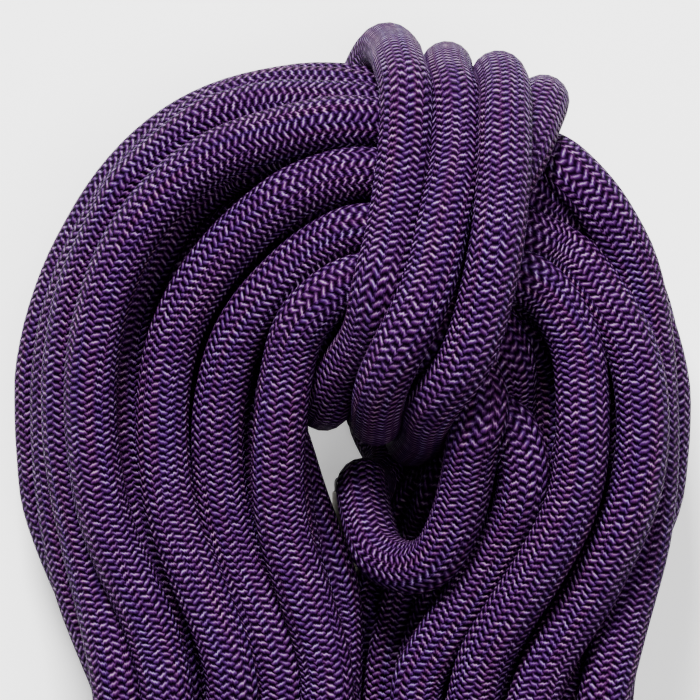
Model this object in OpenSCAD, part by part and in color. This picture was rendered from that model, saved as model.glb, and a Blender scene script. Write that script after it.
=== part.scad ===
// Dynamic climbing rope, stowed as a mountaineer's coil that lies on the ground.
// Origin: middle of the footprint, on the ground. +Z up, +Y towards the tied crown.

/* [Rope] */
// Diameter of the rope over its sheath
rope_d = 10.5; // [9:0.1:11]
// Wall thickness of the braided sheath
sheath_wall = 1; // [0.8:0.05:1.2]
// Length of each straight rope end
end_len = 60; // [54:1:80]

/* [Coil] */
// Overall length of the tied coil
coil_len = 614; // [560:1:660]
// Radius of the round crown of the coil
crown_r = 67; // [65:0.5:70]
// Half of the width across both legs, below the crown
leg_half = 51; // [49:0.5:53]
// Radius of the round foot of the coil
foot_r = 54; // [52:0.5:57]
// Thickness of the coil at its legs
leg_h = 52; // [48:1:56]

/* [Finishing wraps] */
// Number of rope widths that lie side by side in the wraps
wrap_count = 3; // [3:1:3]
// Length of one wrap, from outside the crown to inside its eye
wrap_len = 82; // [80:1:84]
// Slant of the wraps from the coil's own axis
wrap_slant = 9.5; // [8:0.5:11]
// Height of the bundle that the wraps hold
neck_h = 55; // [52:1:58]

/* [End fittings] */
// Wall thickness of the shrink sleeve on each rope end
sleeve_wall = 0.45; // [0.3:0.05:0.5]
// Length of the shrink sleeve
sleeve_len = 48; // [40:1:50]
// Thickness of the paper label under the sleeve
label_wall = 0.15; // [0.1:0.05:0.2]
// Length of the fused nylon tip of each rope end
tip_len = 3; // [2:0.5:4]

/* [Core] */
// Diameter of one core strand
strand_d = 1.9; // [1.6:0.05:1.9]
// Strands in the middle of the core
inner_strands = 3; // [3:1:3]
// Strands around them
outer_strands = 9; // [9:1:9]

/* [Hidden] */
$fn = 64;
gap = 0.3;                                   // air between soft solids that don't touch
rope_r = rope_d / 2;
bore_r = rope_r - sheath_wall;
wrap_w = wrap_count * rope_d;
wrap_mid = [11.5, 29.8];                     // middle of the wraps, from the crown's centre
wrap_top = wrap_mid.y + wrap_len / 2 * cos(wrap_slant) + wrap_w / 2 * sin(wrap_slant);
crown_y = coil_len / 2 - wrap_top;           // crown centre along Y
foot_y = foot_r - coil_len / 2;              // foot centre along Y
wrap_h = neck_h + 2 * rope_d;
wrap_round = 24;                             // outer corner radius of a wrap
neck_round = wrap_round - rope_d;
crown_h = rope_d + neck_h;                   // top of the raised crown
slot_w = 15;                                 // lane for the inner rope end
slot_x = 2;
slot_reach = 130;                            // lane's end, below the crown's centre
eye_r = 9;                                   // eye inside the foot
ledge_h = rope_d + 0.5;                      // height of the ledge over the tail
ledge_r = crown_r - 2 * rope_d;              // where the ledge starts under the crown
sleeve_r = rope_r + label_wall + sleeve_wall;
inner_ring_r = 1.12;
outer_ring_r = bore_r - strand_d / 2 - 0.25;
strand_count = inner_strands + outer_strands;

// Ends: each runs straight along Y, tip first.
inner_tip = [slot_x, crown_y - 15.5, sleeve_r];
outer_tip = [61, crown_y - 263, sleeve_r];

// Route of the tail, from the wraps to the outer end, measured from the crown's centre.
TAIL = [[23, 3.3, 5.5], [28, 2.4, 5.5], [34, -0.5, 5.5], [41, -4.5, 5.5], [48, -10, 5.5],
        [53.5, -17, 5.5], [57, -26, 5.5], [57, -36, 5.5], [54, -47, 5.5], [51.5, -60, 5.5],
        [50.5, -75, 5.5], [50.5, -90, 5.5], [50.5, -110, 5.5], [51.5, -130, 5.5],
        [55, -150, 5.5], [59, -170, 5.5], [61, -187, 5.7], [61, -200, 6]];
// Route of the lead, from the inner end down to the legs.
LEAD = [[2, -78.5, 6], [1.5, -87, 5.8], [0.5, -98, 5.5], [0.5, -110, 5.5], [0.5, -130, 5.5]];

CORE = [for (i = [1:strand_count]) str("core_strand_", i < 10 ? "0" : "", i)];

// A rectangle with round corners, middle at the origin.
module round_rect(w, h, r) {
    square([w - 2 * r, h], center = true);
    square([w, h - 2 * r], center = true);
    for (x = [-1, 1], y = [-1, 1])
        translate([x * (w / 2 - r), y * (h / 2 - r)]) circle(r);
}

// Seen from above: round crown, narrow legs and round foot.
module coil_outline() {
    translate([0, crown_y]) circle(crown_r, $fn = 128);
    polygon([[-crown_r + 1, crown_y - 10], [crown_r - 1, crown_y - 10],
             [leg_half, crown_y - 66], [leg_half, foot_y], [-leg_half, foot_y],
             [-leg_half, crown_y - 66]]);
    translate([0, foot_y]) circle(foot_r, $fn = 128);
}

// Seen from the side: flat on the ground, lifted where the wraps pass below the crown.
module side_profile() {
    low_end = -coil_len / 2;
    top_end = crown_y + crown_r;
    polygon([[low_end, 0], [crown_y - 44, 0], [crown_y - 22, ledge_h], [top_end, ledge_h],
             [top_end, crown_h], [crown_y, crown_h], [crown_y - 60, leg_h], [low_end, leg_h]]);
}

// Places something at the wraps, in their own slanted frame.
module at_wraps() {
    translate([wrap_mid.x, crown_y + wrap_mid.y, wrap_h / 2]) rotate([0, 0, -wrap_slant])
        rotate([90, 0, 90]) children();
}

// The bundle that runs through the wraps.
module neck(extra) {
    at_wraps() linear_extrude(wrap_w + extra, center = true)
        round_rect(wrap_len - 2 * rope_d - 2 * gap, neck_h, neck_round);
}

module coil_turns() {
    color("#3d2560") {
        difference() {
            intersection() {
                linear_extrude(crown_h) coil_outline();
                rotate([90, 0, 90]) linear_extrude(3 * crown_r, center = true) side_profile();
            }
            // Room for the wraps and for the way through the eye of the crown.
            at_wraps() linear_extrude(wrap_w + 2 * gap, center = true)
                square([wrap_len + 2 * gap, 2 * wrap_h], center = true);
            // Lane of the inner rope end.
            translate([slot_x - slot_w / 2, crown_y - slot_reach, -1])
                cube([slot_w, slot_reach, crown_h + 2]);
            translate([0, foot_y, -1]) cylinder(crown_h + 2, eye_r, eye_r);
            tail_ledge();
        }
        neck(4);
    }
}

// Space under the coil's right-hand edge, where the tail lies on the ground.
module tail_ledge() {
    translate([0, 0, -1]) linear_extrude(ledge_h + 1) difference() {
        translate([0, crown_y - 200]) square([2 * crown_r, 300]);
        translate([0, crown_y]) circle(ledge_r, $fn = 128);
        translate([0, crown_y - 201]) square([leg_half - rope_d, 201 - 10]);
    }
}

module finishing_wraps() {
    color("#4a2a66") at_wraps() linear_extrude(wrap_w, center = true) difference() {
        round_rect(wrap_len, wrap_h, wrap_round);
        round_rect(wrap_len - 2 * rope_d, neck_h, neck_round);
    }
}

// Unit direction of a route at point i.
function unit(v) = v / norm(v);
function heading(p, i) = unit(p[min(i + 1, len(p) - 1)] - p[max(i - 1, 0)]);
// A ring of the tube's points around point i, square to the route.
function ring(p, i, r, sides) =
    let (t = heading(p, i), side = unit(cross(t, [0, 0, 1])), up = cross(side, t))
    [for (k = [0:sides - 1]) let (a = 360 * k / sides) p[i] + r * (cos(a) * side + sin(a) * up)];

module tube(p, r, sides = 10) {
    n = len(p);
    last = (n - 1) * sides;
    points = [for (i = [0:n - 1]) each ring(p, i, r, sides)];
    walls = [for (i = [0:n - 2], k = [0:sides - 1]) let (a = i * sides, b = a + sides, m = (k + 1) % sides)
             each [[a + k, a + m, b + m], [a + k, b + m, b + k]]];
    starts = [[for (k = [0:sides - 1]) sides - 1 - k]];
    ends = [[for (k = [0:sides - 1]) last + k]];
    polyhedron(points, concat(walls, starts, ends));
}

module tail_run() {
    color("#3d2560") translate([0, crown_y, 0]) tube(TAIL, rope_r);
}

module lead_run() {
    color("#3d2560") translate([0, crown_y, 0]) tube(LEAD, rope_r);
}

// Along a rope end: the tip points to +Y at the inner end and to -Y at the outer one.
module at_inner_end() {
    translate(inner_tip) rotate([90, 0, 0]) children();
}
module at_outer_end() {
    translate(outer_tip) rotate([-90, 0, 0]) children();
}

module hollow(outer, inner, length) {
    difference() {
        cylinder(length, outer, outer);
        translate([0, 0, -1]) cylinder(length + 2, inner, inner);
    }
}

module sheath_end() {
    color("#452a68") translate([0, 0, tip_len]) hollow(rope_r, bore_r, end_len);
}

// One core strand, which shows at both rope ends.
module core_strand(i) {
    inside = i <= inner_strands;
    turn = inside ? 360 * i / inner_strands : 360 * (i - inner_strands - 0.5) / outer_strands;
    reach = inside ? inner_ring_r : outer_ring_r;
    color("ivory") translate([reach * cos(turn), reach * sin(turn), tip_len])
        cylinder(end_len, d = strand_d, $fn = 32);
}

// Flat tape between core and sheath, bent to their curve.
module tape() {
    reach = 2 * rope_r;
    color("gold") translate([0, 0, tip_len]) linear_extrude(end_len) intersection() {
        difference() {
            circle(bore_r - 0.05);
            circle(bore_r - 0.2);
        }
        polygon([[0, 0], [reach, -reach * tan(15)], [reach, reach * tan(15)]]);
    }
}

module label() {
    color("linen") translate([0, 0, tip_len + 4])
        hollow(rope_r + label_wall, rope_r, sleeve_len - 8);
}

// Shrunk tight: on the sheath at both ends, over the label between them.
module sleeve() {
    over = rope_r + label_wall;
    color("antiquewhite") translate([0, 0, tip_len]) difference() {
        cylinder(sleeve_len, sleeve_r, sleeve_r);
        translate([0, 0, -1]) cylinder(sleeve_len + 2, rope_r, rope_r);
        translate([0, 0, 4]) cylinder(sleeve_len - 8, over, over);
    }
}

// Fused sheath and core, with a rounded rim.
module tip() {
    rim = 1.2;
    color("#251738") rotate_extrude() {
        translate([0, rim]) square([rope_r, tip_len - rim]);
        square([rope_r - rim, tip_len]);
        translate([rope_r - rim, rim]) intersection() {
            circle(rim);
            translate([0, -rim]) square(rim);
        }
    }
}

module at_both_ends() {
    at_inner_end() children();
    at_outer_end() children();
}

coil_turns();
finishing_wraps();
tail_run();
lead_run();
at_inner_end() sheath_end();  // inner_sheath_end
at_outer_end() sheath_end();  // outer_sheath_end
at_both_ends() tape();  // id_tape
at_inner_end() label();  // inner_label
at_outer_end() label();  // outer_label
at_inner_end() sleeve();  // inner_sleeve
at_outer_end() sleeve();  // outer_sleeve
at_inner_end() tip();  // inner_tip
at_outer_end() tip();  // outer_tip
for (i = [1:strand_count])
    at_both_ends() core_strand(i);
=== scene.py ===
import math

import bmesh
import bpy
import numpy as np
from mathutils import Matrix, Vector


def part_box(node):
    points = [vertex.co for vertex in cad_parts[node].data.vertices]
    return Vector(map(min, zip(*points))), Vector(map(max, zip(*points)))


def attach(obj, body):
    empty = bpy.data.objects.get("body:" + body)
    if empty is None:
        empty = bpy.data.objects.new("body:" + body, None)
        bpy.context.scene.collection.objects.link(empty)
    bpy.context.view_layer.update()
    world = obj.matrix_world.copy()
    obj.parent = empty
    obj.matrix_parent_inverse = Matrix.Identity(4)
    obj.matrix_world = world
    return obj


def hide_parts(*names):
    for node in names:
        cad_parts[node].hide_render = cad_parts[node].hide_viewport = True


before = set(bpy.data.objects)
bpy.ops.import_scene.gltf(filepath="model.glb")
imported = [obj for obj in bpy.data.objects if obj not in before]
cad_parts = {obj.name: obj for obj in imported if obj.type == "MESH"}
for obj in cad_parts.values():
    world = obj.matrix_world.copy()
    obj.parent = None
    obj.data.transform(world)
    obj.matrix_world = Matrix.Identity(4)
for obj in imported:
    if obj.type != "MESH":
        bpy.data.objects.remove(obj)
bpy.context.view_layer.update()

MM = 0.001

# ---------------------------------------------------------------- driving sizes, in millimetres
# The layout is worked out in millimetres from the centre of the coil's round crown.
ROPE_D = 10.5
ROPE_R = ROPE_D / 2
ROPE_LENGTH = 30000.0
TIP = 3.0                                   # fused end past the sheath, at both ends
SLEEVE_R = 5.85
CROWN_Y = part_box("inner_tip")[1].y / MM + 15.5
# How far from its centre the crown's strands' middles may lie, by angle.
CROWN_LIMIT = ([0, 60, 90, 100, 108, 115, 125, 136, 150, 180],
               [62, 62, 63.4, 65.3, 67, 68.2, 68.4, 65, 63.5, 62.3])
# How far from the middle line they may lie below the crown, by y.
LEG_LIMIT_Y = [-600, -120, -80, -58, -42, -31, -20, -5]
LEFT_LEG_LIMIT = [45.5, 45.5, 44.5, 45.2, 52, 57, 61, 62]
RIGHT_LEG_LIMIT = [46, 46, 46.5, 49.5, 53.6, 57, 60.6, 62]
FOOT_LIMIT = 50.0
FOOT_INSIDE, FOOT_SPREAD = 13.0, 35.5       # radius of the innermost bend, and from it to the outermost one
LAYER = 0.88 * ROPE_D                       # height of one layer of turns that bed into each other
EYE_AT, EYE_HALF = (1.5, 0.0), (13.5, 17.0)  # ellipse in the crown that the turns run round
FOOT_EYE_HALF = (12.5, 14.0)                # the same at the foot

# ---------------------------------------------------------------- how the rope settles, in millimetres
SPACING = 5.0                               # between the points of the simulated centreline
SHORTEST_LAP = 1.6 * ROPE_D                 # along the rope, below which two points are neighbours
CONTACT = 0.97 * ROPE_D                     # rope squeezed against rope
WATCHED = 1.35 * ROPE_D                     # points this near are tested for contact
TIGHTEST_BEND = 9.0                         # radius of the rope's middle line, where it starts to resist
STIFFNESS, SHARP_STIFFNESS = 0.12, 0.5      # share of a bend that is undone in a round
ROUNDS, QUICK_ROUNDS, LAST_ROUNDS = 300, 60, 60
ROUNDS_PER_SEARCH = 8                       # how long a list of near points serves
FALL = 0.02                                 # by gravity, in each round
PUSH = 1.6                                  # over 1 parts strands faster
CONTACT_PASSES, LENGTH_PASSES = 2, 3        # in each round
COMPARED = 1500                             # points compared with all the others at a time
FIXED_POINTS = 14                           # at each end of the rope
# By the kind of stretch: how easily it gives way, and how strongly it is drawn back to its guide route.
GIVES = {"turn": 1.0, "top": 0.35, "wrap": 0.6, "end": 1.0}
DRAWN_BACK = {"turn": 0.003, "top": 0.25, "wrap": 0.12, "end": 0.2}
WRAP_DRAWN_UP = 0.005


# ---------------------------------------------------------------- camera
CAMERA_AT = (0.0, 10.0, 1250.0)             # from the crown's centre
CAMERA_LENS = 317.0


def make_camera():
    data = bpy.data.cameras.new("Camera")
    camera = bpy.data.objects.new("Camera", data)
    bpy.context.collection.objects.link(camera)
    camera.location = (CAMERA_AT[0] * MM, (CROWN_Y + CAMERA_AT[1]) * MM, CAMERA_AT[2] * MM)
    data.lens = CAMERA_LENS
    data.clip_start, data.clip_end = 0.05, 20
    bpy.context.scene.camera = camera


make_camera()

# ---------------------------------------------------------------- the rope's route
# Turn by turn: the layer a turn lies in, and its place across the leg from the inside to the outside.
LEFT_LEG = [[.25, .49, .73, .97], [.1, .325, .55, .775, 1.0], [.133, .333, .533, .733, .933],
            [.067, .267, .467, .667, .867], [.05, .27, .45, .65, .84]]
RIGHT_LEG = [[.03, .27, .52, .77], [.0, .22, .45, .68, .92], [.1, .32, .55, .77, 1.0],
             [.15, .41, .6, .8, 1.0], [.2, .4, .6, .8, .95]]
FOOT = [[.05, .35, .65, .95], [0, .25, .5, .75, 1.0], [.1, .3, .5, .7, .9],
        [0, .25, .5, .75, 1.0], [.08, .3, .5, .7, .88]]
ORDER = ([(0, j) for j in (0, 1, 2, 3)] + [(1, j) for j in (4, 3, 2, 1, 0)]
         + [(2, j) for j in (0, 1, 2, 3, 4)] + [(3, j) for j in (4, 3, 2, 1, 0)]
         + [(4, j) for j in (4, 3, 2, 0, 1)])

# Turns that show on top of the crown: x, y, z from the left waist over the crown to the right waist.
ON_TOP = {
    18: [(-14, -58, 30), (-20, -20, 34), (-18, 10, 37), (-10, 24, 40), (0, 28, 41), (14, 26, 41),
         (23.5, 19, 40.5), (29.8, 12.5, 40.5), (35, 7.5, 40.5), (37.9, 0.3, 40), (38.5, -7, 38.5),
         (37.5, -18, 36.5), (33, -30, 35.5), (28, -42, 34.5), (23, -58, 33)],
    19: [(-5.5, -58, 37), (-10.5, -32, 39), (-13.3, -12, 43), (-13, -2, 45), (-11, 6, 47), (-6, 14, 49),
         (0, 22.5, 48), (9, 24.5, 46), (17, 21, 44), (24.5, 14.5, 42), (29.5, 7, 42), (31.5, -1, 42),
         (31, -10, 42), (28, -19, 41), (23.5, -28, 39), (19, -38, 36), (15, -48, 34), (12, -58, 33)],
    20: [(-35.4, -58, 42), (-48.8, -20, 43), (-50.2, 10, 46), (-42, 33, 50), (-26.8, 47.7, 51),
         (0, 54, 50), (22, 50.5, 49), (34.4, 43.7, 47), (47.3, 33.9, 43), (53.5, 26, 41),
         (58.5, 16, 39), (61.5, 5, 37.5), (61.3, -8, 36.5), (58, -22, 36), (51.5, -38, 35), (44, -58, 33)],
    21: [(-21.8, -58, 42), (-35.4, -20, 44), (-35.2, 10, 47), (-25.7, 27.9, 51), (-13.6, 38.6, 52),
         (0, 44, 52.5), (18, 41, 51), (28, 36, 48), (35, 32.2, 45.5), (40.5, 29, 45.5),
         (46.5, 23.8, 46), (52, 16.5, 46.5), (55.8, 6.7, 47), (57, -3, 46), (56.4, -12.8, 45.5),
         (54.5, -21.7, 45), (50.6, -30.3, 44.5), (46.1, -38.6, 43.5), (40.9, -46.4, 42.5),
         (35.5, -58, 41)],
    22: [(-13, -58, 42), (-25.1, -20, 44), (-23.2, 10, 47), (-12.8, 24.2, 51), (0, 33.2, 52.5),
         (18, 31, 52.5), (27, 28.8, 52.5), (33.1, 26.1, 52.5), (39.5, 20, 51.5), (44, 10, 50),
         (44.9, 0, 49), (44.9, -9.5, 48), (43.4, -19.2, 47), (39.5, -27.5, 46.5), (34.4, -36.1, 45.5),
         (28.6, -45.1, 44.5), (23.3, -58, 42)],
    23: [(-3.2, -58, 28), (-2.7, -46, 30), (-3.2, -37, 32), (-5.8, -29.5, 34), (-9.2, -20.4, 35.5),
         (-11.6, -13, 36), (-13.3, -6, 36.5), (-12, 8, 38), (-5, 18, 40), (4, 20.5, 39),
         (13, 17, 39), (20, 12, 41), (25.5, 6.5, 45), (29.5, 1, 49), (32.6, -5, 52),
         (33.2, -12.8, 53), (32.1, -21.1, 52.5), (28.6, -28.9, 50), (23.3, -38.1, 47),
         (17.5, -47, 44), (12.5, -58, 41)],
    24: [(-4.3, -58, 42), (-13.8, -20, 44), (-11, 10, 50), (-5, 20, 55), (4, 24.5, 57), (14, 21, 57),
         (20.5, 11, 54), (21.3, 1, 52), (22.4, -8, 51), (22.8, -16, 50.5), (20.6, -25, 49),
         (16.6, -31.3, 46.5), (10.3, -34.3, 43.5), (5.3, -30.2, 41), (3.2, -21.5, 36)],
}
# Down through the eye of the crown and out along the ground, to the start of the first wrap.
UNDER = [(2, -15.8, 28), (4.5, -16.3, 20), (8.5, -17.5, 12.5), (13.5, -14.5, 7), (15.5, -6, 5.3),
         (14, 4, 5.3), (10, 18, 5.3), (5.5, 36, 5.3), (1.5, 52, 5.3), (0, 62, 9)]
# The three wraps: where each passes outside the crown and inside its eye, how high it is lifted, and
# how far it bows to the right.
WRAP_OUTSIDE = [(10.8, 67.4), (18.8, 65.2), (28.8, 62.3), (35, 57)]
WRAP_INSIDE = [(-3.9, -1.5), (7.2, -5), (15, -5)]
WRAP_LIFT = [4, 0.5, 9]
WRAP_BOW = [5.7, 5.9, 5.0]
WRAP_Z, WRAP_HALF = 34.0, 28.75
WRAP_SQUARE = 2.9                           # 2 is an ellipse, and more is squarer
# The last end: under the last wrap, down the eye and out to the right below the turns.
TUCK = [(35, 57.8, 30), (34.6, 57.3, 42), (32.4, 53.5, 53), (28.4, 46, 60.5), (25.4, 36, 62.5),
        (23.2, 24, 62.5), (20.9, 13, 57.5), (18.5, 6, 48), (17, 4, 36), (17, 3.6, 20), (18.5, 3.4, 10)]
# The part's own routes of the tail and the lead, and the straight ends that they run into.
TAIL = [(23, 3.3, 5.5), (28, 2.4, 5.5), (34, -0.5, 5.5), (41, -4.5, 5.5), (48, -10, 5.5),
        (53.5, -17, 5.5), (57, -26, 5.5), (57, -36, 5.5), (54, -47, 5.5), (51.5, -60, 5.5),
        (50.5, -75, 5.5), (50.5, -90, 5.5), (50.5, -110, 5.5), (51.5, -130, 5.5),
        (55, -150, 5.5), (59, -170, 5.5), (61, -187, 5.7), (61, -200, 6)]
OUTER_END = [(61, -206, SLEEVE_R), (61, -230, SLEEVE_R), (61, -260, SLEEVE_R)]
INNER_END = [(2, -18.5, SLEEVE_R), (2, -50, SLEEVE_R)]
LEAD = [(2, -78.5, 6), (1.5, -87, 5.8), (0.5, -98, 5.5), (0.5, -110, 5.5), (0.5, -130, 5.5)]
WAIST_Y = -58
LOW_STATIONS = 3                            # of each leg, which lie below the waist
FIRST_CLEAR_X = -14                         # the first turn keeps left of the lead


def between(a, b, t):
    """The point at share t of the way from a to b."""
    return tuple(p + (q - p) * t for p, q in zip(a, b))


def legs(foot):
    """How far down three places of the legs are, from the waist to the foot."""
    return [WAIST_Y + (foot - WAIST_Y) * f for f in (0.12, 0.42, 0.8)]


def left_stations(foot):
    """From the foot up to the crown: inner place, outer place and lift."""
    high, middle, low = legs(foot)
    return [((-6, low), (-45, low), 0), ((-6, middle), (-44.5, middle), 0),
            ((-8, high), (-44, high), 0), ((-10.5, WAIST_Y), (-44.5, WAIST_Y), 0),
            ((-13, -20), (-62, -20), 2), ((-12.5, 10), (-63.5, 10), 6),
            ((-8, 21), (-48, 45), 9), ((-3, 23), (-29, 62), 10), ((3, 21), (0, 63.6), ROPE_D)]


def right_stations(foot):
    """From the crown down to the foot."""
    high, middle, low = legs(foot)
    return [((15, 16), (20, 56), ROPE_D), ((21, 9), (43, 42), ROPE_D), ((16, 0), (60, 9), ROPE_D),
            ((8, -21), (60, -20), 5), ((3.5, WAIST_Y), (46, WAIST_Y), 1),
            ((3.5, high), (44, high), 0), ((3.5, middle), (44.5, middle), 0), ((6, low), (45, low), 0)]


def foot_bend(foot, a, b):
    """Round the foot from turn a's place to turn b's."""
    (layer, place), (layer2, place2) = a, b
    start, end = FOOT[layer][place], FOOT[layer2][place2]
    points = []
    for degrees, t in ((-20, 0), (-55, 0.15), (-90, 0.5), (-125, 0.85), (-160, 1.0)):
        reach = FOOT_INSIDE + FOOT_SPREAD * (start + (end - start) * t)
        angle = math.radians(degrees)
        points.append((reach * math.cos(angle), foot + reach * math.sin(angle),
                       ROPE_R + (layer + (layer2 - layer) * t) * LAYER))
    return points


def first_bend(foot):
    """From the lead down to the foot, and round the inside of it."""
    return [(3.5, (foot - 130) / 2, 5.3), (8, foot + 30, 5.3), (13, foot, 5.3),
            (9.5, foot - 9.5, 5.3), (0, foot - 14, 5.3), (-10, foot - 9, 5.3)]


def share_across(leg, layer, place, low):
    """A turn's place across its leg: low down it is halfway to its place at the foot."""
    return (leg[layer][place] + FOOT[layer][place]) / 2 if low else leg[layer][place]


def wrap_point(outside, inside, degrees, lift, bow):
    """A point of one wrap: 0 degrees outside the crown, 90 over it, 180 in its eye, 270 under it."""
    angle, power = math.radians(degrees), 2 / WRAP_SQUARE
    along = math.copysign(abs(math.cos(angle)) ** power, math.cos(angle))
    up = math.copysign(abs(math.sin(angle)) ** power, math.sin(angle))
    half_x, half_y = (outside[0] - inside[0]) / 2, (outside[1] - inside[1]) / 2
    reach = math.hypot(half_x, half_y)
    bow = bow * (1 - along ** 4) if up > 0 else 0
    return ((outside[0] + inside[0]) / 2 + half_x * along + half_y / reach * bow,
            (outside[1] + inside[1]) / 2 + half_y * along - half_x / reach * bow,
            WRAP_Z + (WRAP_HALF + (lift if up > 0 else 0)) * up)


def wraps():
    """Over the crown, into its eye and back under it, three times."""
    points = []
    for k, inside in enumerate(WRAP_INSIDE):
        points += [wrap_point(WRAP_OUTSIDE[k], inside, d, WRAP_LIFT[k], WRAP_BOW[k])
                   for d in range(0, 181, 20)]
        points += [wrap_point(WRAP_OUTSIDE[k + 1], inside, d, 0, 0) for d in range(200, 341, 20)]
    return points


def route(foot):
    """The whole rope's guide points, each with the kind of stretch: turn, top, wrap or end."""
    points = [(p, "end") for p in INNER_END + LEAD]
    points += [(p, "turn") for p in first_bend(foot)]
    for number, (layer, place) in enumerate(ORDER, 1):
        shown = ON_TOP.get(number, [])
        height = ROPE_R + layer * LAYER
        for i, (inner, outer, lift) in enumerate(left_stations(foot)):
            low = i < LOW_STATIONS
            x, y = between(inner, outer, share_across(LEFT_LEG, layer, place, low))
            if number == 1 and low:
                x = min(x, FIRST_CLEAR_X)
            if low or not shown:
                points.append(((x, y, height + lift), "turn"))
        points += [(p, "top") for p in shown]
        if number == len(ORDER):
            break
        right = right_stations(foot)
        for i, (inner, outer, lift) in enumerate(right):
            low = i >= len(right) - LOW_STATIONS
            x, y = between(inner, outer, share_across(RIGHT_LEG, layer, place, low))
            if low or not shown:
                points.append(((x, y, height + lift), "turn"))
        points += [(p, "turn") for p in foot_bend(foot, (layer, place), ORDER[number])]
    points += [(p, "wrap") for p in UNDER + wraps() + TUCK]
    return points + [(p, "end") for p in TAIL + OUTER_END]


def resampled(line, step):
    """The line with its points at equal steps."""
    at = np.concatenate([[0], np.cumsum(np.linalg.norm(np.diff(line, axis=0), axis=1))])
    wanted = np.linspace(0, at[-1], max(2, int(round(at[-1] / step)) + 1))
    return np.stack([np.interp(wanted, at, line[:, k]) for k in range(3)], 1)


def smooth(points, step):
    """Centripetal Catmull-Rom curve through the points, at equal steps."""
    p = np.array(points, float)
    p = np.vstack([2 * p[0] - p[1], p, 2 * p[-1] - p[-2]])
    knots = np.cumsum(np.concatenate([[0], np.linalg.norm(np.diff(p, axis=0), axis=1) ** 0.5]))
    line = []
    for i in range(len(p) - 3):
        (a, b, c, d), (t0, t1, t2, t3) = p[i:i + 4], knots[i:i + 4]
        count = max(2, int(np.linalg.norm(c - b)))
        t = np.linspace(t1, t2, count, endpoint=False)[:, None]
        ab = ((t1 - t) * a + (t - t0) * b) / (t1 - t0)
        bc = ((t2 - t) * b + (t - t1) * c) / (t2 - t1)
        cd = ((t3 - t) * c + (t - t2) * d) / (t3 - t2)
        abc = ((t2 - t) * ab + (t - t0) * bc) / (t2 - t0)
        bcd = ((t3 - t) * bc + (t - t1) * cd) / (t3 - t1)
        line.append(((t2 - t) * abc + (t - t1) * bcd) / (t2 - t1))
    return resampled(np.vstack(line + [p[-2][None]]), step)


def length(line):
    return float(np.linalg.norm(np.diff(line, axis=0), axis=1).sum())


def fitted_foot():
    """The foot's place at which the turns use up the whole rope."""
    longest, shortest = -560.0, -300.0
    for _ in range(12):
        foot = (longest + shortest) / 2
        if length(smooth([p for p, _ in route(foot)], SPACING)) > ROPE_LENGTH - 2 * TIP:
            longest = foot
        else:
            shortest = foot
    return (longest + shortest) / 2


# ---------------------------------------------------------------- settling the rope under its weight
def close_pairs(line, reach, skip):
    """Pairs of points nearer than reach that aren't neighbours along the rope."""
    p = line.astype(np.float32)
    square = (p ** 2).sum(1)
    first, second = [], []
    for s in range(0, len(p), COMPARED):
        e = min(len(p), s + COMPARED)
        apart = square[s:e, None] + square[None, s:] - 2 * p[s:e] @ p[s:].T
        i, j = np.nonzero(apart < reach * reach)
        kept = (j - i) > skip
        first.append(i[kept] + s)
        second.append(j[kept] + s)
    return np.concatenate(first), np.concatenate(second)


def hold_in_outline(line, foot, free):
    """Keeps the turns inside the crown's, the legs' and the foot's limits."""
    x, y = line[:, 0], line[:, 1]
    reach = np.hypot(x, y)
    limit = np.interp(np.degrees(np.arctan2(y, x)), *CROWN_LIMIT)
    out = (y > LEG_LIMIT_Y[-1]) & (reach > limit) & free
    line[out, :2] *= (limit[out] / reach[out])[:, None]
    widest = np.where(x > 0, np.interp(y, LEG_LIMIT_Y, RIGHT_LEG_LIMIT),
                      np.interp(y, LEG_LIMIT_Y, LEFT_LEG_LIMIT))
    out = (y <= LEG_LIMIT_Y[-1]) & (y > foot) & (np.abs(x) > widest) & free
    line[out, 0] = np.sign(x[out]) * widest[out]
    reach = np.hypot(x, y - foot)
    out = (y <= foot) & (reach > FOOT_LIMIT) & free
    line[out, 0] *= FOOT_LIMIT / reach[out]
    line[out, 1] = foot + (line[out, 1] - foot) * FOOT_LIMIT / reach[out]


def hold_out_of(line, turns, middle, half):
    """Keeps an ellipse free of turns: the crown's eye, or the round inside of the foot."""
    off = line[:, :2] - middle
    reach = np.hypot(off[:, 0] / half[0], off[:, 1] / half[1]) + 1e-9
    inside = turns & (reach < 1)
    line[inside, :2] += off[inside] * 0.5 * (1 / np.maximum(reach[inside], 0.5) - 1)[:, None]


def part_strands(line, pairs, mobility, count):
    """Pushes strands that lie in each other a rope's diameter apart."""
    first, second = pairs
    apart = line[second] - line[first]
    gap = np.linalg.norm(apart, axis=1) + 1e-9
    over = gap < CONTACT
    i, j = first[over], second[over]
    share = mobility[i] + mobility[j] + 1e-9
    push = apart[over] / gap[over, None] * (0.5 * (CONTACT - gap[over]))[:, None]
    crowd = np.maximum(np.bincount(i, minlength=count) + np.bincount(j, minlength=count), 1) ** 0.5
    for k in range(3):
        moved = (np.bincount(j, push[:, k] * mobility[j] / share, count)
                 - np.bincount(i, push[:, k] * mobility[i] / share, count))
        line[:, k] += moved * PUSH / crowd


def straighten(line, mobility, sharpest, stiffness):
    """Bending stiffness, which is much higher where a bend is too sharp."""
    bend = (line[:-2] + line[2:]) / 2 - line[1:-1]
    share = np.where(np.linalg.norm(bend, axis=1) > sharpest, SHARP_STIFFNESS, stiffness)
    line[1:-1] += bend * (share * mobility[1:-1])[:, None]


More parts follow.
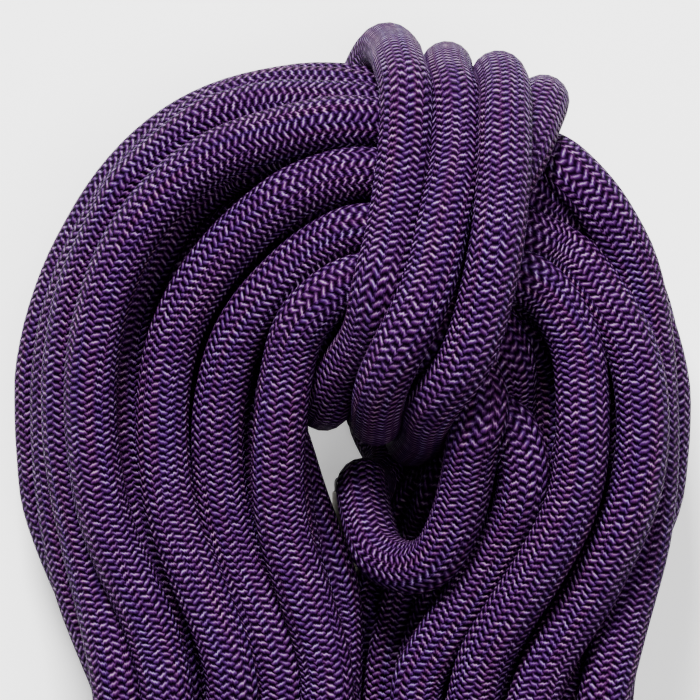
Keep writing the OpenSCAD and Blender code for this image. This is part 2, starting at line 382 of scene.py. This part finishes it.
def keep_length(line, spacing, mobility):
    """Brings neighbouring points back to their spacing, the even pairs first and then the odd ones."""
    for start in (0, 1):
        a = np.arange(start, len(line) - 1, 2)
        step = line[a + 1] - line[a]
        gap = np.linalg.norm(step, axis=1) + 1e-9
        pull = ((gap - spacing) / gap / (mobility[a] + mobility[a + 1] + 1e-9))[:, None]
        line[a] += step * pull * mobility[a, None]
        line[a + 1] -= step * pull * mobility[a + 1, None]


def settle(line, tags, foot, rounds):
    """Lets the rope bed down: gravity, stiffness, contact and fixed length, near its guide route."""
    count = len(line)
    home, spacing = line.copy(), length(line) / (count - 1)
    wrap, turns = tags == "wrap", tags == "turn"
    mobility = np.array([GIVES[tag] for tag in tags])
    mobility[:FIXED_POINTS] = mobility[-FIXED_POINTS:] = 0.0
    hold = np.array([DRAWN_BACK[tag] for tag in tags]) * (mobility > 0)
    hold_z = np.where(wrap, WRAP_DRAWN_UP, 0.0)
    free = ~(wrap | (tags == "end"))
    sharpest = spacing * spacing / (2 * TIGHTEST_BEND)
    skip = math.ceil(SHORTEST_LAP / spacing)
    for number in range(rounds):
        if number % ROUNDS_PER_SEARCH == 0:
            pairs = close_pairs(line, WATCHED, skip)
        line[:, 2] -= FALL * mobility
        line[:, :2] += (home[:, :2] - line[:, :2]) * hold[:, None]
        line[:, 2] += (home[:, 2] - line[:, 2]) * hold_z
        straighten(line, mobility, sharpest, STIFFNESS)
        for _ in range(CONTACT_PASSES):
            part_strands(line, pairs, mobility, count)
            line[:, 2] = np.maximum(line[:, 2], ROPE_R)
            hold_in_outline(line, foot, free)
            hold_out_of(line, turns, EYE_AT, EYE_HALF)
            hold_out_of(line, turns, (0, foot), FOOT_EYE_HALF)
        for _ in range(LENGTH_PASSES):
            keep_length(line, spacing, mobility)
        line[:, 2] = np.maximum(line[:, 2], ROPE_R)
    # Nothing pulls the rope down or back in the last rounds, so no strand stays pressed into another.
    pairs = close_pairs(line, WATCHED, skip)
    loose = np.where(mobility > 0, 1.0, 0.0)
    for _ in range(LAST_ROUNDS):
        straighten(line, loose, sharpest, 0.0)
        part_strands(line, pairs, loose, count)
        hold_in_outline(line, foot, free)
        keep_length(line, spacing, mobility)
        line[:, 2] = np.maximum(line[:, 2], ROPE_R)
    return line


def rope_centreline():
    """The settled middle line of the whole rope, from the inner end to the outer one."""
    foot = fitted_foot()
    guide = route(foot)
    points = np.array([p for p, _ in guide], float)
    line = smooth(points, SPACING)
    tags = np.full(len(line), "turn", dtype="<U5")
    at = 0
    for (point, tag), (_, following) in zip(guide, guide[1:]):
        at += int(np.argmin(((line[at:at + 60] - point) ** 2).sum(1)))
        tags[at:] = tag if tag == following else "turn"
    tags[at:] = "end"
    return settle(line, tags, foot, ROUNDS)


# ---------------------------------------------------------------- tubes
CROWN_FINE = ([-110, -70], [0.12, 0.3])      # by y: rings lie closer from the legs up to the crown
BEND_FINE = 6.0                             # and closer still in bends
BEND_SPAN = 7                               # steps of the line over which a bend is measured


def even_rings(line, rings):
    """Re-spaces a fine line so that its tight bends get more points."""
    step = np.diff(line, axis=0)
    gap = np.linalg.norm(step, axis=1)
    heading = step / gap[:, None]
    half = (BEND_SPAN + 1) // 2
    width = 2 * half + 1
    turned_by = np.linalg.norm(heading[BEND_SPAN:] - heading[:-BEND_SPAN], axis=1)
    bend = np.zeros(len(line))
    bend[half:-half] = turned_by / (BEND_SPAN * gap.mean())
    weight = np.interp(line[:, 1], *CROWN_FINE) + BEND_FINE * bend
    weight = np.convolve(np.pad(weight, half, mode="edge"), np.ones(width) / width, mode="valid")
    total = np.concatenate([[0], np.cumsum((weight[1:] + weight[:-1]) / 2 * gap)])
    wanted = np.linspace(0, total[-1], rings)
    at = np.concatenate([[0], np.cumsum(gap)])
    places = np.interp(wanted, total, at)
    return np.stack([np.interp(places, at, line[:, k]) for k in range(3)], 1), places


def carried_frames(line):
    """Side and up vectors carried along a line without twist."""
    heading = np.gradient(line, axis=0)
    heading /= np.linalg.norm(heading, axis=1)[:, None]
    side = np.cross(heading[0], (0, 0, 1.0))
    side /= np.linalg.norm(side)
    sides = np.empty_like(line)
    for i, t in enumerate(heading):
        side = side - t * side.dot(t)
        side /= math.sqrt(side.dot(side))
        sides[i] = side
    return sides, np.cross(sides, heading)


def sweep(name, line, radius, sides, along):
    """A closed tube round the line, in metres, with a UV map: once round, and along in metres."""
    right, up = carried_frames(line)
    angle = np.arange(sides) / sides * math.tau
    rings = right[:, None] * np.cos(angle)[None, :, None] + up[:, None] * np.sin(angle)[None, :, None]
    points = (line[:, None] + rings * radius).reshape(-1, 3)
    n = len(line)
    a = (np.arange(n - 1)[:, None] * sides + np.arange(sides)[None]).reshape(-1)
    b = (np.arange(n - 1)[:, None] * sides + (np.arange(sides)[None] + 1) % sides).reshape(-1)
    quads = np.stack([a, b, b + sides, a + sides], 1)
    mesh = bpy.data.meshes.new(name)
    ends = [list(range(sides))[::-1], [(n - 1) * sides + k for k in range(sides)]]
    mesh.from_pydata((points * MM + np.array([0, CROWN_Y, 0]) * MM).tolist(), [], quads.tolist() + ends)
    layer = mesh.uv_layers.new(name="Braid")
    u0 = np.tile(np.arange(sides) / sides, n - 1)
    v0, v1 = np.repeat(along[:-1] * MM, sides), np.repeat(along[1:] * MM, sides)
    u1 = u0 + 1 / sides
    uv = np.stack([u0, v0, u1, v0, u1, v1, u0, v1], 1).reshape(-1)
    uv_of_ends = np.zeros(len(ends) * sides * 2)
    layer.data.foreach_set("uv", np.concatenate([uv, uv_of_ends]).astype(np.float32))
    mesh.polygons.foreach_set("use_smooth", [True] * len(quads) + [False] * len(ends))
    mesh.validate()
    piece = bpy.data.objects.new(name, mesh)
    bpy.context.collection.objects.link(piece)
    return piece


RINGS, SIDES = 5400, 18
SMOOTHINGS = 6                              # of the fine line, which takes out the solver's jitter

fine = smooth(rope_centreline(), 1.0)
for _ in range(SMOOTHINGS):
    fine[1:-1] = (fine[:-2] + 2 * fine[1:-1] + fine[2:]) / 4
fine[:, 2] = np.maximum(fine[:, 2], ROPE_R)
ring_line, ring_at = even_rings(fine, RINGS)
rope = sweep("rope_sheath", ring_line, ROPE_R, SIDES, ring_at)
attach(rope, "root")
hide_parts("coil_turns", "finishing_wraps", "tail_run", "lead_run", "inner_sheath_end",
            "outer_sheath_end")


# ---------------------------------------------------------------- fittings at the rope's ends
SLEEVE_WALL, LABEL_WALL, SLEEVE_LEN, SLEEVE_HEM = 0.43, 0.16, 48.0, 4.0
SLEEVE_GAP, SLEEVE_STEP = 0.02, 1.2         # over the sheath, and the length of the rise onto the label
SLEEVE_RINGS, SLEEVE_SIDES = 150, 64
RIPPLE, RIPPLE_RATE = 0.035, 2.6            # height of the sleeve's rings, and radians along a millimetre
CREASE, CREASES, CREASE_LEAN = 0.02, 3, 0.4
WAVE_ROOM = 0.06                            # so that both stay within the sleeve's outer size
HEM_ROUND, HEM_REACH = 0.22, 0.12
HEM_RINGS = np.array([0.0, 0.1, 0.3, 0.6])  # from either edge of the sleeve, which is rounded
# Profile of a fused tip, from its middle outwards: distance from the axis, and depth below the face.
TIP_PROFILE = [(0.15, 0.75), (0.8, 0.7), (1.6, 0.55), (2.4, 0.62), (3.2, 0.35), (3.9, 0.2), (4.4, 0.12),
               (4.8, 0.3), (5.08, 0.7), (5.18, 1.2), (5.2, 1.8), (5.16, 2.4), (5.2, 3.0)]
TIP_SIDES = 72
TIP_WAVES = (2, 3, 5, 8, 13)                # lumps round the rim
TIP_LEAST, TIP_MOST = 0.02, 0.07            # height of one wave
TIP_DISH_R, TIP_RIM_R, TIP_FACE_R = 4.0, 4.6, 4.9
TIP_SMOOTH = 2.6                            # depth from which the sheath isn't melted
TIP_SEEDS = {"inner": 4, "outer": 9}
STRAND_R, STRAND_RINGS, STRAND_SIDES = 0.94, 121, 24
END_LEN, PLY_LAY = 60.0, 11.0
CORE_PLACES = ([(1.12, 120 * k) for k in (1, 2, 3)] + [(3.05, 40 * (k - 0.5)) for k in range(1, 10)])
# Where each end's tip is from the crown's centre, and which way the rope runs from it along Y.
ENDS = {"inner": ((2.0, -15.5, SLEEVE_R), -1), "outer": ((61.0, -263.0, SLEEVE_R), 1)}


def at_end(end, points):
    """From an end's own frame, tip at the origin and rope along z, to the scene in metres."""
    (x, y, z), way = ENDS[end]
    p = np.asarray(points, float)
    placed = np.stack([x + p[..., 0], CROWN_Y + y + way * p[..., 2], z - way * p[..., 1]], -1)
    return placed.reshape(-1, 3) * MM


def turned(name, parts):
    """One piece of closed rings, each part a grid of points (rings, sides) joined into a tube."""
    corners, faces, uvs, at = [], [], [], 0
    for grid, hollow in parts:
        rings, sides = len(grid), len(grid[0])
        corners += list(map(tuple, grid.reshape(-1, 3)))
        joins = rings if hollow else rings - 1
        for i in range(joins):
            for k in range(sides):
                j, m = (i + 1) % rings, (k + 1) % sides
                this, following = at + i * sides, at + j * sides
                faces.append((this + k, this + m, following + m, following + k))
                uvs += [(k / sides, i / rings), ((k + 1) / sides, i / rings),
                        ((k + 1) / sides, (i + 1) / rings), (k / sides, (i + 1) / rings)]
        if not hollow:
            for ring, way in ((0, -1), (rings - 1, 1)):
                faces.append([at + ring * sides + k for k in range(sides)][::way])
                uvs += [(0.5, ring / rings)] * sides
        at += rings * sides
    mesh = bpy.data.meshes.new(name)
    mesh.from_pydata(corners, [], faces)
    layer = mesh.uv_layers.new(name="Wrap")
    layer.data.foreach_set("uv", np.array(uvs, np.float32).reshape(-1))
    mesh.polygons.foreach_set("use_smooth", [len(f) == 4 for f in faces])
    mesh.update()
    piece = bpy.data.objects.new(name, mesh)
    bpy.context.collection.objects.link(piece)
    facing_out(mesh)
    return piece


def facing_out(mesh):
    """Turns every face outwards."""
    work = bmesh.new()
    work.from_mesh(mesh)
    bmesh.ops.recalc_face_normals(work, faces=work.faces)
    work.to_mesh(mesh)
    work.free()


def circles(zs, radius_of, sides):
    """Rings of points round the z axis; radius_of(z, angle) gives the reach."""
    angle = np.arange(sides) / sides * math.tau
    z, angle = np.meshgrid(zs, angle, indexing="ij")
    reach = radius_of(z, angle)
    return np.stack([reach * np.cos(angle), reach * np.sin(angle), z], -1)


def sleeve(end):
    """Shrunk onto the sheath at both hems, raised over the label between, faintly ringed."""
    def from_edge(z):
        return np.minimum(z - TIP, TIP + SLEEVE_LEN - z)

    def raised(z):
        return np.clip((from_edge(z) - SLEEVE_HEM + SLEEVE_STEP / 2) / SLEEVE_STEP, 0, 1)

    def inner(z, angle):
        return ROPE_R + SLEEVE_GAP + LABEL_WALL * raised(z)

    def outer(z, angle):
        ripples = RIPPLE * np.sin(z * RIPPLE_RATE) * raised(z)
        creases = CREASE * np.sin(CREASES * angle + z * CREASE_LEAN)
        rounding = HEM_ROUND * np.exp(-from_edge(z) / HEM_REACH)
        return inner(z, angle) + SLEEVE_WALL - WAVE_ROOM + (ripples + creases) - rounding

    zs = np.concatenate([TIP + HEM_RINGS, np.linspace(TIP + 1, TIP + SLEEVE_LEN - 1, SLEEVE_RINGS),
                         TIP + SLEEVE_LEN - HEM_RINGS[::-1]])
    grid = np.concatenate([circles(zs, outer, SLEEVE_SIDES), circles(zs[::-1], inner, SLEEVE_SIDES)])
    points = at_end(end, grid).reshape(grid.shape)
    return turned(end + "_sleeve_detail", [(points, True)])


def tip(end):
    """Sheath and core melted together: a lumpy rim with a dished middle."""
    random = np.random.default_rng(TIP_SEEDS[end])
    heights = random.uniform(TIP_LEAST, TIP_MOST, len(TIP_WAVES))
    starts = random.uniform(0, math.tau, len(TIP_WAVES))
    angle = np.arange(TIP_SIDES) / TIP_SIDES * math.tau
    lump = sum(a * np.sin(k * angle + p) for k, a, p in zip(TIP_WAVES, heights, starts))
    rings = []
    for reach, depth in TIP_PROFILE:
        # Lumps fade out towards the middle and towards the sheath.
        rough = lump * min(1.0, reach / TIP_DISH_R) * (1 if depth < TIP_SMOOTH else 0.2)
        outward = rough * (0.5 if reach > TIP_RIM_R else 0.2)
        downward = rough * (2.2 if reach < TIP_FACE_R else 0.6)
        r = np.minimum(reach + outward, ROPE_R - 0.01)
        z = np.maximum(depth + downward, 0.0) if depth < TIP else np.full(TIP_SIDES, TIP)
        rings.append(np.stack([r * np.cos(angle), r * np.sin(angle), z], -1))
    grid = np.array(rings)
    return turned(end + "_tip_detail", [(at_end(end, grid).reshape(grid.shape), False)])


def core_strand(number):
    """Three plies twisted together, at both ends of the rope."""
    reach, degrees = CORE_PLACES[number - 1]
    middle = np.array([reach * math.cos(math.radians(degrees)), reach * math.sin(math.radians(degrees)), 0])
    ply = STRAND_R / (1 + 2 / math.sqrt(3))
    off = STRAND_R - ply

    def lobes(z, angle):
        from_ply = (angle - z / PLY_LAY * math.tau - number) % (math.tau / 3) - math.tau / 6
        inside = np.maximum(ply ** 2 - (off * np.sin(from_ply)) ** 2, 0)
        return off * np.cos(from_ply) + np.sqrt(inside)

    grid = circles(np.linspace(TIP, TIP + END_LEN, STRAND_RINGS), lobes, STRAND_SIDES) + middle
    return turned(f"core_strand_{number:02d}_plies",
                  [(at_end(end, grid).reshape(grid.shape), False) for end in ENDS])


fittings = {}
for end in ENDS:
    fittings[end + "_sleeve"] = sleeve(end)
    fittings[end + "_tip"] = tip(end)
for number in range(1, len(CORE_PLACES) + 1):
    fittings[f"core_strand_{number:02d}"] = core_strand(number)
for node, piece in fittings.items():
    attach(piece, "root")
    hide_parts(node)


# ---------------------------------------------------------------- materials
class Nodes:
    """A short way to write shader maths."""

    def __init__(self, name):
        self.material = bpy.data.materials.new(name)
        self.material.use_nodes = True
        self.tree = self.material.node_tree
        self.shader = self.tree.nodes["Principled BSDF"]

    def node(self, kind, **settings):
        made = self.tree.nodes.new(kind)
        for key, value in settings.items():
            setattr(made, key, value)
        return made

    def feed(self, socket, value):
        if isinstance(value, bpy.types.NodeSocket):
            self.tree.links.new(value, socket)
        else:
            socket.default_value = value

    def maths(self, operation, a, b=0.0, c=0.0):
        made = self.node("ShaderNodeMath", operation=operation)
        for socket, value in zip(made.inputs, (a, b, c)):
            self.feed(socket, value)
        return made.outputs[0]

    def ramp(self, value, stops):
        made = self.node("ShaderNodeValToRGB")
        band = made.color_ramp
        while len(band.elements) < len(stops):
            band.elements.new(0.5)
        for element, (at, colour) in zip(band.elements, stops):
            element.position = at
            element.color = (*colour, 1)
        self.feed(made.inputs[0], value)
        return made.outputs[0]

    def noise(self, vector, scale, detail=2.0, rough=0.5):
        made = self.node("ShaderNodeTexNoise")
        self.feed(made.inputs["Vector"], vector)
        made.inputs["Scale"].default_value = scale
        made.inputs["Detail"].default_value = detail
        made.inputs["Roughness"].default_value = rough
        return made.outputs[0]

    def bump(self, height, distance):
        made = self.node("ShaderNodeBump")
        made.inputs["Strength"].default_value = 1.0
        made.inputs["Distance"].default_value = distance
        self.feed(made.inputs["Height"], height)
        return made.outputs[0]


STITCHES_ROUND = 20
STITCH_ROW = 0.00153                        # metres along the rope from one stitch to the next
STITCH_LEAN = 0.4                           # rows that a stitch climbs over half its width
STITCH_WANDER = 0.55                        # rows
STITCH_RELIEF = 0.0017                      # metres, more than real, so that the light shows it


def braid_material():
    """Herringbone of yarns: stitches in columns round the rope that lean left and right by turns, coloured
    with painted highlights on their crests and painted shade in the gaps between them.
    """
    m = Nodes("braided_sheath")
    uv = m.node("ShaderNodeUVMap", uv_map="Braid")
    split = m.node("ShaderNodeSeparateXYZ")
    m.feed(split.inputs[0], uv.outputs[0])
    wander = m.noise(uv.outputs[0], 60.0, 1.0)
    columns = m.maths("MULTIPLY", split.outputs[0], STITCHES_ROUND)
    rows = m.maths("MULTIPLY_ADD", m.maths("SUBTRACT", wander, 0.5), STITCH_WANDER,
                   m.maths("DIVIDE", split.outputs[1], STITCH_ROW))
    heights, painted_light_levels = [], []
    for number, lean in ((0, 1.0), (1, -1.0)):
        # Distance across from the nearest column of this kind, from -1 to 1.
        half = m.maths("MULTIPLY", m.maths("ADD", columns, 1.0 + number), 0.5)
        across = m.maths("MULTIPLY_ADD", m.maths("FRACT", half), 2.0, -1.0)
        along = m.maths("MULTIPLY_ADD", across, lean * STITCH_LEAN, rows)
        along = m.maths("ADD", along, 0.5 * number)
        local = m.maths("SUBTRACT", m.maths("FRACT", along), 0.5)
        # Rounded float: thick in its middle, diving under its neighbours at both ends.
        thick = m.maths("POWER", m.maths("MULTIPLY", m.maths("ABSOLUTE", local), 2.1), 2.0)
        wide = m.maths("POWER", m.maths("DIVIDE", m.maths("ABSOLUTE", across), 0.8), 2.4)
        reach = m.maths("ADD", thick, wide)
        body = m.maths("POWER", m.maths("MAXIMUM", m.maths("SUBTRACT", 1.0, reach), 0.0), 0.65)
        # Each float sits a little higher or lower than the next, which also makes its painted highlight
        # brighter or dimmer.
        cell = m.node("ShaderNodeCombineXYZ")
        m.feed(cell.inputs[0], m.maths("FLOOR", along))
        m.feed(cell.inputs[1], m.maths("MULTIPLY_ADD", m.maths("FLOOR", half), 7.0, 3.0 * number))
        chance = m.node("ShaderNodeTexWhiteNoise", noise_dimensions="2D")
        m.feed(chance.inputs["Vector"], cell.outputs[0])
        height = m.maths("MULTIPLY", body, m.maths("MULTIPLY_ADD", chance.outputs["Value"], 0.22, 0.8))
        heights.append(height)
        # Painted highlight: the colour is made lighter along each float's crest, where its filaments would
        # catch the light.
        painted_crest_highlight = m.maths("POWER", m.maths("MULTIPLY_ADD", m.maths("ABSOLUTE", local), -2.0, 1.0), 2.2)
        painted_light_levels.append(m.maths("MULTIPLY", height, m.maths("MULTIPLY_ADD", painted_crest_highlight, 0.5, 0.5)))
    height = m.maths("MAXIMUM", heights[0], heights[1])
    # The nearer float's painted light level: low in the gaps, high at the crests.
    shade = m.maths("MAXIMUM", painted_light_levels[0], painted_light_levels[1])
    tint = m.noise(uv.outputs[0], 25.0, 3.0)
    # Base colour from the painted light level: near-black in the gaps as painted shade, the dyed violet on
    # the floats' sides, and lilac at the crests as painted highlight.
    yarn = m.ramp(shade, [(0.0, (0.003, 0.00005, 0.005)), (0.25, (0.009, 0.0003, 0.015)),
                          (0.5, (0.026, 0.004, 0.04)), (0.7, (0.06, 0.02, 0.08)),
                          (0.85, (0.14, 0.075, 0.17)), (1.0, (0.27, 0.18, 0.31))])
    warm = m.ramp(tint, [(0.35, (0.85, 0.95, 1.1)), (0.7, (1.15, 1.0, 0.9))])
    mixed = m.node("ShaderNodeMix", data_type="RGBA", blend_type="MULTIPLY")
    m.feed(mixed.inputs[0], 1.0)
    m.feed(mixed.inputs[6], yarn)
    m.feed(mixed.inputs[7], warm)
    m.feed(m.shader.inputs["Base Color"], mixed.outputs[2])
    m.feed(m.shader.inputs["Normal"], m.bump(height, STITCH_RELIEF))
    m.feed(m.shader.inputs["Roughness"], m.maths("MULTIPLY_ADD", height, -0.45, 0.85))
    m.shader.inputs["Specular IOR Level"].default_value = 0.02
    m.shader.inputs["Specular Tint"].default_value = (0.72, 0.5, 1.0, 1)
    return m.material


def sleeve_material():
    """Milky film with faint rings and a little dirt."""
    m = Nodes("milky_sleeve")
    place = m.node("ShaderNodeTexCoord").outputs["Object"]
    cloud = m.noise(place, 260.0, 3.0)
    rings = m.node("ShaderNodeTexWave", wave_type="BANDS", bands_direction="Y")
    m.feed(rings.inputs["Vector"], place)
    rings.inputs["Scale"].default_value = 220.0
    rings.inputs["Distortion"].default_value = 1.5
    shade = m.maths("MULTIPLY_ADD", rings.outputs["Fac"], 0.3, cloud)
    milky = m.ramp(shade, [(0.3, (0.36, 0.31, 0.24)), (0.6, (0.56, 0.5, 0.4)), (0.95, (0.7, 0.65, 0.54))])
    m.feed(m.shader.inputs["Base Color"], milky)
    m.feed(m.shader.inputs["Roughness"], m.maths("MULTIPLY_ADD", cloud, 0.3, 0.25))
    m.feed(m.shader.inputs["Normal"], m.bump(shade, 0.0001))
    return m.material


def tip_material():
    """Melted yarn: near-black violet with brown scorch and a glassy skin."""
    m = Nodes("fused_yarn")
    place = m.node("ShaderNodeTexCoord").outputs["Object"]
    scorch = m.noise(place, 420.0, 4.0, 0.65)
    melted = m.ramp(scorch, [(0.35, (0.006, 0.003, 0.012)), (0.55, (0.03, 0.012, 0.05)),
                             (0.75, (0.05, 0.03, 0.02))])
    m.feed(m.shader.inputs["Base Color"], melted)
    m.feed(m.shader.inputs["Roughness"], m.maths("MULTIPLY_ADD", scorch, 0.4, 0.35))
    m.feed(m.shader.inputs["Normal"], m.bump(scorch, 0.0003))
    return m.material


def yarn_material():
    """Undyed yarn: fine filaments along the plies."""
    m = Nodes("undyed_yarn")
    uv = m.node("ShaderNodeUVMap", uv_map="Wrap").outputs[0]
    stretch = m.node("ShaderNodeMapping")
    m.feed(stretch.inputs["Vector"], uv)
    stretch.inputs["Scale"].default_value = (60.0, 12.0, 1.0)
    fibre = m.noise(stretch.outputs[0], 3.0, 3.0)
    undyed = m.ramp(fibre, [(0.3, (0.5, 0.48, 0.42)), (0.65, (0.82, 0.8, 0.74))])
    m.feed(m.shader.inputs["Base Color"], undyed)
    m.feed(m.shader.inputs["Roughness"], m.maths("MULTIPLY_ADD", fibre, 0.2, 0.6))
    m.feed(m.shader.inputs["Normal"], m.bump(fibre, 0.0001))
    m.shader.inputs["Sheen Weight"].default_value = 0.2
    return m.material


def film_material(name, dark, light, scale, rough):
    """Thin tape or label: a faint mottle over a plain film."""
    m = Nodes(name)
    place = m.node("ShaderNodeTexCoord").outputs["Object"]
    mottle = m.noise(place, scale, 3.0)
    m.feed(m.shader.inputs["Base Color"], m.ramp(mottle, [(0.3, dark), (0.7, light)]))
    m.feed(m.shader.inputs["Roughness"], m.maths("MULTIPLY_ADD", mottle, 0.2, rough))
    m.feed(m.shader.inputs["Normal"], m.bump(mottle, 0.00005))
    return m.material


def dress(pieces, material):
    """Gives the pieces this one material."""
    for piece in pieces:
        piece.data.materials.clear()
        piece.data.materials.append(material)


dress([rope], braid_material())
dress([fittings["inner_sleeve"], fittings["outer_sleeve"]], sleeve_material())
dress([fittings["inner_tip"], fittings["outer_tip"]], tip_material())
dress([p for n, p in fittings.items() if n.startswith("core")], yarn_material())
dress([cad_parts["id_tape"]],
      film_material("woven_tape", (0.5, 0.36, 0.07), (0.68, 0.52, 0.13), 900.0, 0.5))
dress([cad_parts[n] for n in ("inner_label", "outer_label")],
      film_material("label_paper", (0.62, 0.58, 0.48), (0.8, 0.76, 0.67), 700.0, 0.55))

# ---------------------------------------------------------------- floor and light
FLOOR_SIZE, FLOOR_GREY, FLOOR_GLOW = 8, 0.86, 0.5   # the glow makes it as pale as in the studio
SKY = 0.3
# Place in metres, size of the square panel, and watts.
KEY = ((-0.25, 1.45, 1.25), 0.5, 128)
FILL = ((0.5, 0.1, 1.6), 0.8, 27)

bpy.ops.mesh.primitive_plane_add(size=FLOOR_SIZE)
floor = bpy.context.active_object
floor.name = "floor"
pale = Nodes("floor_paper")
pale.shader.inputs["Base Color"].default_value = (FLOOR_GREY, FLOOR_GREY, FLOOR_GREY, 1)
pale.shader.inputs["Roughness"].default_value = 0.9
pale.shader.inputs["Emission Color"].default_value = (1, 1, 1, 1)
pale.shader.inputs["Emission Strength"].default_value = FLOOR_GLOW
floor.data.materials.append(pale.material)

world = bpy.data.worlds.new("World")
world.use_nodes = True
world.node_tree.nodes["Background"].inputs["Color"].default_value = (1, 1, 1, 1)
world.node_tree.nodes["Background"].inputs["Strength"].default_value = SKY
bpy.context.scene.world = world


def softbox(name, at, size, watts):
    """A square panel light that faces the crown."""
    data = bpy.data.lights.new(name, "AREA")
    data.shape, data.size, data.energy = "SQUARE", size, watts
    lamp = bpy.data.objects.new(name, data)
    lamp.location = at
    towards = Vector((0, CROWN_Y * MM, 0)) - Vector(at)
    lamp.rotation_euler = towards.to_track_quat("-Z", "Y").to_euler()
    bpy.context.collection.objects.link(lamp)


softbox("key", *KEY)
softbox("fill", *FILL)
